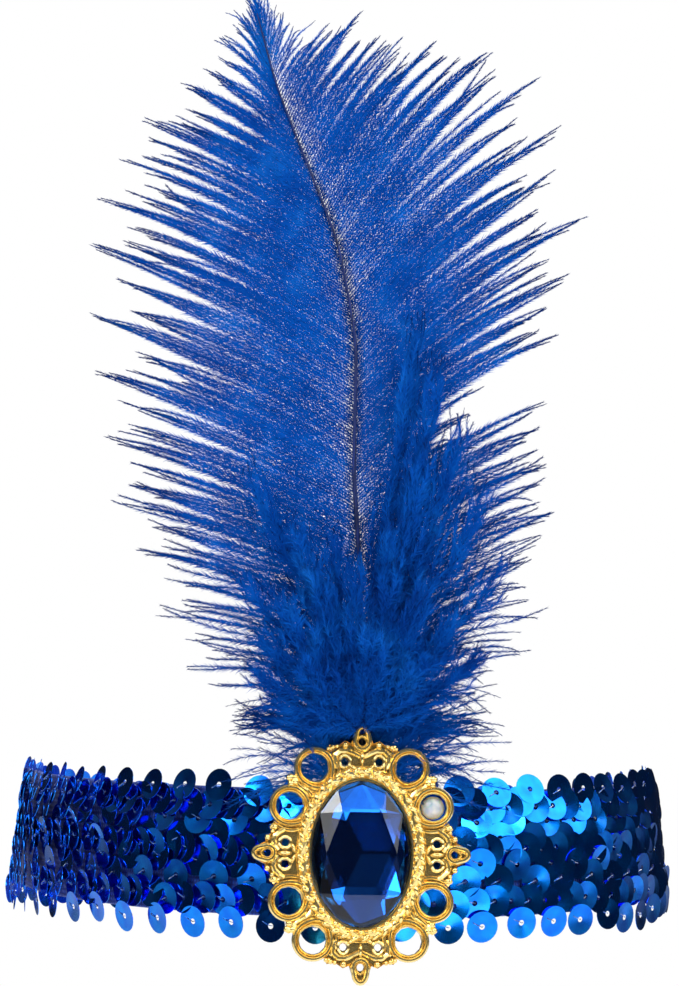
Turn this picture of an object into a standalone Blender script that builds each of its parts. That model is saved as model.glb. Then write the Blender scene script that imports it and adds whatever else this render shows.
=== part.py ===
"""Showgirl feather headdress: an elastic band in sequin strands, with a plume and a gilt medallion.

Metres, +Z up. The wearer looks along -Y. The origin is the middle of the head opening,
level with the lower edge of the band's front.
"""
import math

import bpy
import bmesh
from mathutils import Matrix, Vector

MM = 0.001
CLEARANCE = 0.3 * MM          # gap kept between pieces that touch
SINK = 0.1 * MM               # keeps the faces of fused pieces from lying flush
WORKSHOP_SCALE = 1000.0       # pieces are fused and cut at this scale, where small details stay exact

# Head opening and elastic band
BAND_HALF_WIDTH = 78.4 * MM   # outer face of the elastic, at the origin's level
BAND_HALF_DEPTH = 93.4 * MM
BAND_LOW = 6.0 * MM
BAND_HIGH = 32.6 * MM
BAND_THICKNESS = 1.2 * MM
BAND_STATIONS = 90
BAND_SLOPE = math.tan(math.radians(7.0))   # the band narrows upwards, as a head does
BACK_DROP = 12.0 * MM         # how far the band's back sits below its front
BACK_BEND = 0.12              # softness of the bend between the level front and the falling back

# Sequin strands: each zigzags up and down, and its discs lie over each other like shingles
ZIGZAGS = 60                  # round the band, about 9 mm each
STRAND_INNER = 0.3 * MM       # from the elastic to the back of the strand
STRAND_THICKNESS = 1.3 * MM
SHINGLE_STEP = 0.7 * MM       # how far an overlapping rim stands in front of the next disc
# Lowest and highest point of each strand, and depth of the scallops along its low and high edge
STRANDS = {
    "sequin_strand_lower": (0.6 * MM, 13.2 * MM, 4.4 * MM, 1.7 * MM),
    "sequin_strand_middle": (13.8 * MM, 24.2 * MM, 1.7 * MM, 1.7 * MM),
    "sequin_strand_upper": (24.6 * MM, 35.4 * MM, 1.7 * MM, 2.4 * MM),
}
STRAND_FRONT = STRAND_INNER + STRAND_THICKNESS + SHINGLE_STEP   # strand's front over the elastic

# Medallion, in its own plane: u to the right, v up, w out of its face
MEDALLION_HEIGHT = 19.6 * MM  # its centre above the origin
QUILL_RADIUS = 1.1 * MM
MEDALLION_BACK = STRAND_FRONT + CLEARANCE + 2.0 * QUILL_RADIUS + CLEARANCE
PLATE_THICKNESS = 1.8 * MM
BEZEL_OUTER = (13.4 * MM, 18.0 * MM)
BEZEL_INNER = (10.7 * MM, 15.5 * MM)
BEZEL_STATIONS = 48           # twice the leaves round the rope bezel
BEZEL_RIM = PLATE_THICKNESS + 0.6 * MM   # w of the rope's foot
LEAF_RISE = 1.2 * MM
SEAT_TOP = 0.9 * MM
EYELET_CENTRES = ((9.9 * MM, 17.8 * MM), (15.0 * MM, 9.8 * MM))   # of one quarter
EYELET_RADIUS = 4.3 * MM
EYELET_HOLE = 2.85 * MM
EYELET_RIM = 0.6 * MM         # height of its two rims over the plate
EYELET_SIDES = 12
# Plate between two eyelets: along the line between them and out across it, millimetres
WEB_CORNERS = ((-2.6, -3.2), (2.6, -3.2), (1.5, 2.7), (-1.5, 2.7))
# Half outlines of the finials, from the bezel to the tip: across and out, millimetres
TALL_FINIAL = (
    (7.0, 16.6),
    (7.5, 20.8),
    (6.9, 22.6),
    (5.4, 22.2),
    (3.6, 23.4),
    (2.3, 22.9),
    (1.8, 24.4),
    (0.9, 26.0),
    (0.0, 26.8),
)
SIDE_FINIAL = (
    (5.4, 12.2),
    (6.2, 16.6),
    (5.9, 18.8),
    (4.3, 18.5),
    (3.3, 20.1),
    (2.4, 19.9),
    (1.5, 21.6),
    (0.0, 22.8),
)
FINIALS = ((0.0, TALL_FINIAL), (90.0, SIDE_FINIAL), (180.0, TALL_FINIAL), (270.0, SIDE_FINIAL))
FINIAL_RIM = 0.5 * MM         # its rim over its sunk face, and the rim's width
FINIAL_HOLE = 0.8 * MM
FINIAL_HOLES = (              # u and v of the holes in two of the four finials, millimetres
    (0.0, 23.2),
    (3.6, 19.1),
    (-3.6, 19.1),
    (19.5, 0.0),
    (15.8, 2.2),
    (15.8, -2.2),
)
BEADS = (                     # u, v and radius of each bead of one quarter, millimetres
    (13.9, 14.9, 1.0),
    (14.9, 15.7, 0.8),
    (6.6, 21.9, 0.7),
    (18.4, 5.4, 0.75),
)
QUARTERS = ((1, 1), (-1, 1), (-1, -1), (1, -1))

# Stone
STONE_HALF = (10.35 * MM, 15.15 * MM)
STONE_BACK = SEAT_TOP + CLEARANCE
STONE_GIRDLE = 2.3 * MM       # w of the girdle
GIRDLE_WAVE = 0.3 * MM        # the girdle is this much higher at the main facets
STONE_TABLE = 4.4 * MM        # w of the table
STONE_TABLE_CORNERS = ((4.1, 8.5), (7.3, 0.0), (4.1, -8.5), (-4.1, -8.5), (-7.3, 0.0), (-4.1, 8.5))
STONE_FACET_ANGLES = (0.0, 29.0, 57.0, 90.0, 123.0, 151.0, 180.0, 209.0, 237.0, 270.0, 303.0, 331.0)
STONE_CULET_SHARE = (0.7, 0.75)   # size of the flat back over the girdle

# Glue drop
GLUE_HALF = (2.5 * MM, 2.5 * MM, 1.7 * MM)

# Plume: the quill lies flat on the sequins, then follows this line, x, y, z in millimetres
QUILL_BUTT_HEIGHTS = (6.0 * MM, 27.0 * MM, 47.0 * MM)
QUILL_LINE = (
    (-0.4, -89.8, 74.0),
    (-2.4, -88.6, 100.0),
    (-2.2, -88.0, 128.0),
    (-6.4, -88.8, 149.0),
    (-14.0, -90.6, 167.0),
    (-20.6, -93.2, 182.0),
    (-25.4, -97.0, 198.0),
)
QUILL_TIP_SHARE = 0.3         # tip radius over butt radius
LOCK_THICKNESS = 4.0 * MM
LOCK_LAYER = 0.7 * MM         # neighbouring locks lie this far in front of and behind the vane
LOCK_STATIONS = ((0.0, 0.62), (0.38, 1.0), (0.8, 0.62))   # share along, share of width
LOCK_EDGE = 0.35              # thickness that is left where a lock narrows to nothing, as a share
LOCK_BEND = (0.42, -0.1, 0.62)   # bend of a lock: share of its span across, of its reach forward, of its rise
LOCK_SINK = 0.02              # share of its span by which a lock's root lies behind the quill's middle
# Locks of barbs: tip x, tip z, height of the root on the quill, width, how far the tip comes forward
PLUME_LOCKS = (
    (-31, 195, 180, 7.5, 2),
    (-41, 182, 166, 10.0, 3),
    (-51, 174, 152, 11.5, 4),
    (-51, 165, 143, 11.5, 4),
    (-58, 158, 133, 13.0, 5),
    (-57, 146, 121, 14.5, 6),
    (-58, 131, 108, 15.5, 7),
    (-57, 119, 96, 15.5, 8),
    (-55, 106, 86, 15.0, 9),
    (-54, 93, 76, 14.5, 10),
    (-48, 82, 67, 14.0, 11),
    (-42, 69, 59, 13.0, 12),
    (-38, 57, 53, 12.0, 12),
    (-28, 47, 51, 10.0, 10),
    (-11, 194, 181, 7.0, 2),
    (-3, 198, 174, 8.5, 2),
    (5, 193, 166, 10.0, 3),
    (14, 194, 159, 11.0, 3),
    (25, 191, 151, 12.0, 4),
    (36, 185, 143, 12.5, 4),
    (40, 174, 136, 12.5, 5),
    (40, 165, 127, 13.0, 5),
    (44, 154, 118, 13.5, 6),
    (43, 143, 109, 13.5, 6),
    (42, 132, 100, 13.0, 7),
    (39, 115, 88, 13.5, 8),
    (41, 104, 79, 14.0, 9),
    (41, 92, 70, 14.0, 11),
    (36, 81, 62, 13.0, 12),
    (38, 71, 57, 12.5, 12),
    (34, 60, 53, 11.5, 12),
    (29, 46, 51, 10.0, 10),
)

# Down tuft: tip x, tip z, how far the tip comes forward, width of each lock
TUFT_ROOT_HEIGHT = 52.5 * MM
TUFT_HEAD = (5.0 * MM, 2.6 * MM, 4.0 * MM)   # half sizes of the tuft's head
TUFT_THICKNESS = 3.6 * MM
TUFT_LAYER = 0.35 * MM        # its locks lie in three layers, this far apart
TUFT_ROOT_SPREAD = (2.0 * MM, 1.2 * MM)   # how far the roots spread across and up from the head's middle
TUFT_BEND = (0.35, -0.7, 0.6)
TUFT_LOCKS = (
    (-25, 58, 12, 12.0),
    (-23, 66, 10, 12.0),
    (-18, 74, 11, 12.0),
    (-11, 80, 8, 12.0),
    (-3, 82, 11, 11.0),
    (5, 80, 8, 11.0),
    (13, 78, 11, 12.0),
    (20, 71, 10, 12.0),
    (25, 62, 12, 11.0),
    (-14, 61, 13, 11.0),
    (1, 68, 14, 12.0),
    (14, 62, 13, 11.0),
)


def material(name, hex_colour, roughness, metallic=0.0):
    """Return a Principled material of one sRGB colour."""
    def linear(channel):
        return channel / 12.92 if channel <= 0.04045 else ((channel + 0.055) / 1.055) ** 2.4
    result = bpy.data.materials.new(name)
    result.use_nodes = True
    shader = result.node_tree.nodes["Principled BSDF"]
    channels = [int(hex_colour[i:i + 2], 16) / 255.0 for i in (0, 2, 4)]
    shader.inputs["Base Color"].default_value = [linear(c) for c in channels] + [1.0]
    shader.inputs["Roughness"].default_value = roughness
    shader.inputs["Metallic"].default_value = metallic
    return result


def add_object(name, mesh, collection, finish=None):
    """Make an object of a mesh, in a collection, with its material."""
    obj = bpy.data.objects.new(name, mesh)
    collection.objects.link(obj)
    if finish:
        mesh.materials.append(finish)
    return obj


def mesh_of(obj):
    """Return the object's evaluated mesh, in world space, and remove the object."""
    bpy.context.view_layer.update()
    evaluated = obj.evaluated_get(bpy.context.evaluated_depsgraph_get())
    mesh = bpy.data.meshes.new_from_object(evaluated)
    mesh.transform(obj.matrix_world)
    bpy.data.objects.remove(obj)
    return mesh


def mesh_from(build, name="piece"):
    """Return a mesh that the function build fills through a bmesh."""
    mesh = bpy.data.meshes.new(name)
    shape = bmesh.new()
    build(shape)
    bmesh.ops.recalc_face_normals(shape, faces=shape.faces)
    shape.to_mesh(mesh)
    shape.free()
    return mesh


def joined(meshes):
    """Return one mesh that holds several closed meshes."""
    shape = bmesh.new()
    for mesh in meshes:
        shape.from_mesh(mesh)
    result = bpy.data.meshes.new("joined")
    shape.to_mesh(result)
    shape.free()
    return result


def boolean(mesh, operand, operation, workshop):
    """Return the mesh united with, or cut by, the operand mesh, worked out at a large scale."""
    for piece in (mesh, operand):
        piece.transform(Matrix.Scale(WORKSHOP_SCALE, 4))
    target = add_object("target", mesh, workshop)
    tool = add_object("tool", operand, workshop)
    modifier = target.modifiers.new("boolean", "BOOLEAN")
    modifier.operation = operation
    modifier.object = tool
    result = mesh_of(target)
    bpy.data.objects.remove(tool)
    result.transform(Matrix.Scale(1.0 / WORKSHOP_SCALE, 4))
    return result


def without_pockets(mesh):
    """Return the mesh's tallest skin alone, so that pockets closed between locks are solid."""
    shape = bmesh.new()
    shape.from_mesh(mesh)
    unseen = set(shape.faces)
    skins = []
    while unseen:
        skin = []
        waiting = [unseen.pop()]
        while waiting:
            face = waiting.pop()
            skin.append(face)
            for edge in face.edges:
                for other in edge.link_faces:
                    if other in unseen:
                        unseen.remove(other)
                        waiting.append(other)
        heights = [vert.co.z for face in skin for vert in face.verts]
        skins.append((max(heights) - min(heights), skin))
    tallest = max(skins, key=lambda item: item[0])
    for item in skins:
        if item is not tallest:
            bmesh.ops.delete(shape, geom=item[1], context="FACES")
    shape.to_mesh(mesh)
    shape.free()
    return mesh


# Band and strands

def oval_point(angle, height, out):
    """Return a point at a distance out from the elastic's outer face; angle 0 is the front."""
    half_width = BAND_HALF_WIDTH - BAND_SLOPE * height
    half_depth = BAND_HALF_DEPTH - BAND_SLOPE * height
    back = -math.cos(angle)
    drop = BACK_DROP * (back + math.hypot(back, BACK_BEND)) / 2.0
    normal = Vector((half_depth * math.sin(angle), -half_width * math.cos(angle), 0.0)).normalized()
    base = Vector((half_width * math.sin(angle), -half_depth * math.cos(angle), height - drop))
    return base + normal * out


def even_angles(count):
    """Return angles that divide the oval into equal lengths, from the front round."""
    fine = 3600
    lengths = [0.0]
    for i in range(fine):
        start = oval_point(math.tau * i / fine, 0.0, 0.0)
        end = oval_point(math.tau * (i + 1) / fine, 0.0, 0.0)
        lengths.append(lengths[-1] + (end - start).length)
    angles = []
    index = 0
    for i in range(count):
        wanted = lengths[-1] * i / count
        while lengths[index + 1] < wanted:
            index += 1
        share = (wanted - lengths[index]) / (lengths[index + 1] - lengths[index])
        angles.append(math.tau * (index + share) / fine)
    return angles


def loop_surface(edges):
    """Return an open strip round the head; edges holds a low and a high point at each station."""
    def build(shape):
        rows = [[shape.verts.new(point) for point in pair] for pair in edges]
        for i, (low, high) in enumerate(rows):
            next_low, next_high = rows[(i + 1) % len(rows)]
            shape.faces.new((low, next_low, next_high, high))
    return mesh_from(build)


def thicken(obj, thickness):
    """Give an open strip its thickness, inwards from the face it shows."""
    modifier = obj.modifiers.new("thickness", "SOLIDIFY")
    modifier.thickness = thickness
    modifier.offset = -1.0
    modifier.use_even_offset = True


def elastic_band(parts, finish):
    edges = []
    for angle in even_angles(BAND_STATIONS):
        edges.append((oval_point(angle, BAND_LOW, 0.0), oval_point(angle, BAND_HIGH, 0.0)))
    band = add_object("elastic_band", loop_surface(edges), parts, finish)
    thicken(band, BAND_THICKNESS)
    band.data.shade_smooth()


def sequin_strand(name, parts, finish):
    """A zigzag strand: its edges rise and fall in turn, where its low and its high discs stand out."""
    low, high, low_scallop, high_scallop = STRANDS[name]
    front = STRAND_INNER + STRAND_THICKNESS
    edges = []
    for i, angle in enumerate(even_angles(2 * ZIGZAGS)):
        if i % 2 == 0:
            low_point = oval_point(angle, low + low_scallop, front)
            high_point = oval_point(angle, high, front + SHINGLE_STEP)
        else:
            low_point = oval_point(angle, low, front + SHINGLE_STEP)
            high_point = oval_point(angle, high - high_scallop, front)
        edges.append((low_point, high_point))
    strand = add_object(name, loop_surface(edges), parts, finish)
    thicken(strand, STRAND_THICKNESS)


# Medallion and stone

def prism(outline, bottom, top):
    """Return a closed plate with the given outline."""
    def build(shape):
        face = shape.faces.new([shape.verts.new((u, v, bottom)) for u, v in outline])
        raised = bmesh.ops.extrude_face_region(shape, geom=[face])["geom"]
        moved = [item for item in raised if isinstance(item, bmesh.types.BMVert)]
        bmesh.ops.translate(shape, verts=moved, vec=(0.0, 0.0, top - bottom))
    return mesh_from(build)


def rimmed_plate(outline, top, rim, depth):
    """Return a plate whose face is sunk inside a raised rim."""
    def build(shape):
        shape.from_mesh(prism(outline, 0.0, top))
        shape.faces.ensure_lookup_table()
        face = max(shape.faces, key=lambda f: f.calc_center_median().z)
        bmesh.ops.inset_region(shape, faces=[face], thickness=rim, use_even_offset=True)
        bmesh.ops.translate(shape, verts=face.verts, vec=(0.0, 0.0, -depth))
    return mesh_from(build)


def cylinder(u, v, radius, bottom, top, sides):
    """Return a closed cylinder along w."""
    def build(shape):
        place = Matrix.Translation((u, v, (bottom + top) / 2.0))
        bmesh.ops.create_cone(shape, cap_ends=True, segments=sides, radius1=radius,
                              radius2=radius, depth=top - bottom, matrix=place)
    return mesh_from(build)


def bead(u, v, w, radius):
    """Return a small ball."""
    def build(shape):
        bmesh.ops.create_uvsphere(shape, u_segments=8, v_segments=5, radius=radius,
                                  matrix=Matrix.Translation((u, v, w)))
    return mesh_from(build)


def eyelet(u, v, workshop):
    """Return a turned eyelet: two raised rims with a groove between them, round an open hole."""
    quarter = (EYELET_RADIUS - EYELET_HOLE) / 4.0
    profile = (
        (EYELET_RADIUS, PLATE_THICKNESS - SINK),
        (EYELET_RADIUS, 0.0),
        (EYELET_HOLE, 0.0),
        (EYELET_HOLE, PLATE_THICKNESS),
        (EYELET_HOLE + quarter, PLATE_THICKNESS + EYELET_RIM),
        (EYELET_HOLE + 2.0 * quarter, PLATE_THICKNESS + 0.25 * EYELET_RIM),
        (EYELET_RADIUS - quarter, PLATE_THICKNESS + EYELET_RIM),
    )

    def build(shape):
        verts = [shape.verts.new((radius, 0.0, w)) for radius, w in profile]
        for i, vert in enumerate(verts):
            shape.edges.new((vert, verts[(i + 1) % len(verts)]))
    turned = add_object("eyelet", mesh_from(build), workshop)
    screw = turned.modifiers.new("turn", "SCREW")
    screw.steps = EYELET_SIDES
    screw.render_steps = EYELET_SIDES
    screw.use_merge_vertices = True
    screw.merge_threshold = 0.00001
    turned.location = (u, v, 0.0)
    return mesh_of(turned)


def oval_at(angle, half):
    return half[0] * math.sin(angle), half[1] * math.cos(angle)


def rope_bezel():
    """Return the oval seat and its rope rim: two rows of leaves that rise in turn."""
    def build(shape):
        rings = []
        for i in range(BEZEL_STATIONS):
            angle = math.tau * i / BEZEL_STATIONS
            outer_u, outer_v = oval_at(angle, BEZEL_OUTER)
            inner_u, inner_v = oval_at(angle, BEZEL_INNER)
            outer_rise, inner_rise = (1.0, 0.45) if i % 2 == 0 else (0.45, 1.0)
            section = (
                (1.0, 0.0),
                (1.0, BEZEL_RIM),
                (0.68, BEZEL_RIM + outer_rise * LEAF_RISE),
                (0.32, BEZEL_RIM + inner_rise * LEAF_RISE),
                (0.0, BEZEL_RIM - SINK),
                (0.0, SEAT_TOP),
            )
            ring = []
            for share, w in section:
                u = inner_u + (outer_u - inner_u) * share
                v = inner_v + (outer_v - inner_v) * share
                ring.append(shape.verts.new((u, v, w)))
            rings.append(ring)
        for i, ring in enumerate(rings):
            following = rings[(i + 1) % len(rings)]
            for j in range(len(ring) - 1):
                shape.faces.new((ring[j], following[j], following[j + 1], ring[j + 1]))
        shape.faces.new([ring[0] for ring in rings])
        shape.faces.new([ring[-1] for ring in rings])
    return mesh_from(build)


def finial_outline(half, turn):
    """Return the whole outline of a finial, in metres, turned about the medallion's middle."""
    points = list(half) + [(-across, out) for across, out in reversed(half[:-1])]
    cos, sin = math.cos(turn), math.sin(turn)
    return [((u * cos - v * sin) * MM, (u * sin + v * cos) * MM) for u, v in points]


def web(side, rise):
    """Return the plate that fills the notch between two eyelets of one quarter."""
    first, second = (Vector(centre) for centre in EYELET_CENTRES)
    along = (second - first).normalized()
    across = Vector((-along.y, along.x))
    middle = (first + second) / 2.0
    corners = []
    for a, b in WEB_CORNERS:
        point = middle + along * a * MM + across * b * MM
        corners.append((side * point.x, rise * point.y))
    return prism(corners, SINK, PLATE_THICKNESS + SINK)


def medallion(parts, workshop, finish):
    """The gilt medallion: a rope bezel, four finials, eight eyelets, beads, and holes cut through."""
    finials = []
    for turn, half in FINIALS:
        outline = finial_outline(half, math.radians(turn))
        finials.append(rimmed_plate(outline, PLATE_THICKNESS + FINIAL_RIM, FINIAL_RIM, FINIAL_RIM))
    webs = [web(side, rise) for side, rise in QUARTERS]
    eyelets = [eyelet(side * u, rise * v, workshop)
               for side, rise in QUARTERS for u, v in EYELET_CENTRES]
    shape = rope_bezel()
    for pieces in (finials, webs, eyelets):
        shape = boolean(shape, joined(pieces), "UNION", workshop)
    for u, v, radius in BEADS:
        copies = [bead(side * u * MM, rise * v * MM, PLATE_THICKNESS + SINK, radius * MM)
                  for side, rise in QUARTERS]
        shape = boolean(shape, joined(copies), "UNION", workshop)
    cutters = [cylinder(mirror * u * MM, mirror * v * MM, FINIAL_HOLE, -MM, 3.0 * PLATE_THICKNESS, 8)
               for mirror in (1, -1) for u, v in FINIAL_HOLES]
    shape = boolean(shape, joined(cutters), "DIFFERENCE", workshop)
    place_on_band(add_object("medallion", shape, parts, finish))


def place_on_band(obj):
    """Stand a piece that is modelled in the medallion's plane at the front of the band."""
    obj.location = oval_point(0.0, MEDALLION_HEIGHT, MEDALLION_BACK)
    obj.rotation_euler.x = math.pi / 2.0 - math.atan(BAND_SLOPE)


def stone(parts, finish):
    """An oval step-and-star cut: hexagonal table, twelve main crown facets and a low pavilion."""
    culet_half = [half * share for half, share in zip(STONE_HALF, STONE_CULET_SHARE)]

    def build(shape):
        for u, v in STONE_TABLE_CORNERS:
            shape.verts.new((u * MM, v * MM, STONE_TABLE))
        for start, end in zip(STONE_FACET_ANGLES, STONE_FACET_ANGLES[1:] + (360.0,)):
            main = oval_at(math.radians(start), STONE_HALF)
            between = oval_at(math.radians((start + end) / 2.0), STONE_HALF)
            culet = oval_at(math.radians(start), culet_half)
            shape.verts.new((*main, STONE_GIRDLE + GIRDLE_WAVE))
            shape.verts.new((*between, STONE_GIRDLE))
            shape.verts.new((*culet, STONE_BACK))
        bmesh.ops.convex_hull(shape, input=shape.verts)
        bmesh.ops.dissolve_limit(shape, angle_limit=math.radians(1.0), verts=shape.verts,
                                 edges=shape.edges)
    place_on_band(add_object("stone", mesh_from(build), parts, finish))


def glue_drop(parts, finish):
    """The drop of clear glue that shows in one eyelet, on the wearer's left."""
    u, v = EYELET_CENTRES[1]

    def build(shape):
        bmesh.ops.create_uvsphere(shape, u_segments=12, v_segments=6, radius=1.0)
        bmesh.ops.scale(shape, verts=shape.verts, vec=GLUE_HALF)
        bmesh.ops.translate(shape, verts=shape.verts, vec=(u, v, -SINK))
    obj = add_object("glue_drop", mesh_from(build), parts, finish)
    obj.data.shade_smooth()
    place_on_band(obj)


# Plume and down tuft

def quill_points():
    """Return the points of the quill's centre line, from butt to tip."""
    out = STRAND_FRONT + CLEARANCE + QUILL_RADIUS
    butt = [oval_point(0.0, height, out) for height in QUILL_BUTT_HEIGHTS]
    return butt + [Vector(point) * MM for point in QUILL_LINE]


def quill_point(height):
    """Return the quill's centre at a height."""
    points = quill_points()
    for low, high in zip(points, points[1:]):
        if height <= high.z or high is points[-1]:
            return low.lerp(high, (height - low.z) / (high.z - low.z))


def quill(workshop):
    """Return the quill as a closed tapered tube."""
    line = bpy.data.curves.new("quill", "CURVE")
    line.dimensions = "3D"
    line.bevel_depth = QUILL_RADIUS
    line.bevel_resolution = 2
    line.use_fill_caps = True
    spline = line.splines.new("POLY")
    points = quill_points()
    spline.points.add(len(points) - 1)
    for i, point in enumerate(points):
        spline.points[i].co = (*point, 1.0)
        share = i / (len(points) - 1)
        spline.points[i].radius = 1.0 + (QUILL_TIP_SHARE - 1.0) * share
    tube = bpy.data.objects.new("quill", line)
    workshop.objects.link(tube)
    mesh = mesh_of(tube)

    def build(shape):
        shape.from_mesh(mesh)
        bmesh.ops.remove_doubles(shape, verts=shape.verts, dist=0.00001)
    return mesh_from(build)


def lock(root, bend, tip, width, thickness, face):
    """Return one lock of barbs: a flat spindle along a curve, with a ridge on both faces."""
    def build(shape):
        rings = []
        for share, fullness in LOCK_STATIONS:
            centre = curve_point(root, bend, tip, share)
            ahead = curve_point(root, bend, tip, share + 0.02)
            along = (ahead - centre).normalized()
            across = along.cross(face).normalized()
            out = across.cross(along).normalized()
            half = across * width * fullness / 2.0
            ridge = out * thickness * (LOCK_EDGE + (1.0 - LOCK_EDGE) * fullness) / 2.0
            ring = [centre - half, centre - ridge, centre + half, centre + ridge]
            rings.append([shape.verts.new(point) for point in ring])
        point = shape.verts.new(tip)
        for low, high in zip(rings, rings[1:]):
            for j in range(4):
                shape.faces.new((low[j], low[(j + 1) % 4], high[(j + 1) % 4], high[j]))
        for j in range(4):
            shape.faces.new((rings[-1][j], rings[-1][(j + 1) % 4], point))
        shape.faces.new(rings[0])
    return mesh_from(build)


def curve_point(root, bend, tip, share):
    """Return a point on the quadratic curve from root to tip."""
    first = root.lerp(bend, share)
    second = bend.lerp(tip, share)
    return first.lerp(second, share)


def plume(parts, workshop, finish):
    """One ostrich plume: its quill, and the locks of barbs on both sides, fused."""
    shape = quill(workshop)
    for i, (tip_x, tip_z, root_z, width, forward) in enumerate(PLUME_LOCKS):
        root = quill_point(root_z * MM)
        layer = LOCK_LAYER if i % 2 else -LOCK_LAYER
        tip = Vector((tip_x * MM, root.y - forward * MM + layer, tip_z * MM))
        span = tip - root
        across, ahead, rise = LOCK_BEND
        bend = root + Vector((span.x * across, forward * MM * ahead, span.z * rise))
        start = root + Vector((-LOCK_SINK * span.x, layer, -LOCK_SINK * span.z))
        piece = lock(start, bend, tip, width * MM, LOCK_THICKNESS, Vector((0.0, -1.0, 0.0)))
        shape = boolean(shape, piece, "UNION", workshop)
    add_object("plume", without_pockets(shape), parts, finish)


def down_tuft(parts, workshop, finish):
    """The soft tuft at the foot of the plume: locks fused to a small head in front of the quill."""
    back = quill_point(TUFT_ROOT_HEIGHT).y - LOCK_THICKNESS / 2.0 - LOCK_LAYER
    head_middle = Vector((0.0, back - TUFT_HEAD[1], TUFT_ROOT_HEIGHT))

    def build_head(shape):
        bmesh.ops.create_uvsphere(shape, u_segments=12, v_segments=6, radius=1.0)
        bmesh.ops.scale(shape, verts=shape.verts, vec=TUFT_HEAD)
        bmesh.ops.translate(shape, verts=shape.verts, vec=head_middle)
    shape = mesh_from(build_head)
    for i, (tip_x, tip_z, forward, width) in enumerate(TUFT_LOCKS):
        layer = TUFT_LAYER * (i % 3)
        tip = Vector((tip_x * MM, head_middle.y - forward * MM - layer, tip_z * MM))
        aim = (tip - head_middle).normalized()
        root = head_middle + Vector((aim.x * TUFT_ROOT_SPREAD[0], -layer, aim.z * TUFT_ROOT_SPREAD[1]))
        span = tip - root
        across, ahead, rise = TUFT_BEND
        bend = root + Vector((span.x * across, forward * MM * ahead, span.z * rise))
        piece = lock(root, bend, tip, width * MM, TUFT_THICKNESS, Vector((0.0, -1.0, 0.0)))
        shape = boolean(shape, piece, "UNION", workshop)
    add_object("down_tuft", without_pockets(shape), parts, finish)


def main():
    for obj in list(bpy.data.objects):
        bpy.data.objects.remove(obj)
    parts = bpy.data.collections.new("showgirl_feather_headdress")
    workshop = bpy.data.collections.new("workshop")
    bpy.context.scene.collection.children.link(parts)
    bpy.context.scene.collection.children.link(workshop)

    elastic_band(parts, material("royal_blue_elastic", "003CA0", 0.75))
    sequins = material("azure_sequins", "0078F0", 0.18, 0.6)
    for name in STRANDS:
        sequin_strand(name, parts, sequins)
    feather = material("royal_blue_ostrich", "0A46B4", 0.85)
    plume(parts, workshop, feather)
    down_tuft(parts, workshop, feather)
    medallion(parts, workshop, material("gilt_moulding", "D7AA3C", 0.2, 1.0))
    stone(parts, material("sapphire_acrylic", "0A2E8C", 0.08))
    glue_drop(parts, material("milky_glue", "E9E6D8", 0.35))


main()
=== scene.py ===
"""Looks of the showgirl feather headdress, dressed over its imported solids."""
import math

import bpy
import bmesh
import numpy as np
from mathutils import Matrix, Vector


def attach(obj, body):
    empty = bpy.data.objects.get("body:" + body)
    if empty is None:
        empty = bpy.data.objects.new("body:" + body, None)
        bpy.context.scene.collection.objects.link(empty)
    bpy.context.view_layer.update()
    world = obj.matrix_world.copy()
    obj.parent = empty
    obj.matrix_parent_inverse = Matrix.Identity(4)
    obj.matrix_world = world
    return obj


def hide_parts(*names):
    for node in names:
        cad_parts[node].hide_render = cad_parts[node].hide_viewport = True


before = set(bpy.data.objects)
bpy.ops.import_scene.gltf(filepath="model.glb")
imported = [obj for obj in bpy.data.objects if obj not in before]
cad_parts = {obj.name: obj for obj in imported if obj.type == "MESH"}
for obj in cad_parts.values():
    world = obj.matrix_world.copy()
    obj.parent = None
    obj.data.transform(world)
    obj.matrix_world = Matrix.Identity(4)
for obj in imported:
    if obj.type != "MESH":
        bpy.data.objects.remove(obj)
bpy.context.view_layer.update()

MM = 0.001

# Band: the elastic's outer face, as the solids have it
BAND_HALF_WIDTH = 78.4 * MM
BAND_HALF_DEPTH = 93.4 * MM
BAND_LOW = 6.0 * MM
BAND_HIGH = 32.6 * MM
BAND_THICKNESS = 1.2 * MM
BAND_LENGTH = 527.0 * MM      # round the head
BAND_SLOPE = math.tan(math.radians(7.0))
BACK_DROP = 12.0 * MM
BACK_BEND = 0.12

# Sequins: each strand is a chain of discs that zigzags, four discs to a cycle
SEQUIN_COUNT = 240            # in one strand
SEQUIN_RADIUS = 3.4 * MM
SEQUIN_HOLE = 0.6 * MM
SEQUIN_CONE = 0.13 * MM       # how far the rim stands before the hole
SEQUIN_GAUGE = 0.10 * MM      # thickness of the film
SEQUIN_SIDES = 24
SHINGLE_ANGLE = math.radians(11.0)
ZIGZAG = (-1.0, 0.0, 1.0, 0.0)
# Middle height, swing of the zigzag, and how many degrees the discs lean back
SEQUIN_STRANDS = {
    "sequin_strand_lower": (9.3 * MM, 4.4 * MM, -7.0),
    "sequin_strand_middle": (19.9 * MM, 2.6 * MM, -6.0),
    "sequin_strand_upper": (29.3 * MM, 3.1 * MM, 9.0),
}
DISC_OUT = 1.5 * MM           # disc centre in front of the elastic

# Medallion plane: u right, v up, w out, millimetres
MEDALLION_HEIGHT = 19.6 * MM
QUILL_RADIUS = 1.1 * MM
CLEARANCE = 0.3 * MM
STRAND_FRONT = 2.3 * MM
MEDALLION_BACK = STRAND_FRONT + CLEARANCE + 2.0 * QUILL_RADIUS + CLEARANCE
BEZEL_OUTER = (13.4, 18.0)
BEZEL_INNER = (10.7, 15.5)
EYELETS = ((9.9, 17.8), (15.0, 9.8))
QUARTERS = ((1, 1), (-1, 1), (-1, -1), (1, -1))
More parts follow.
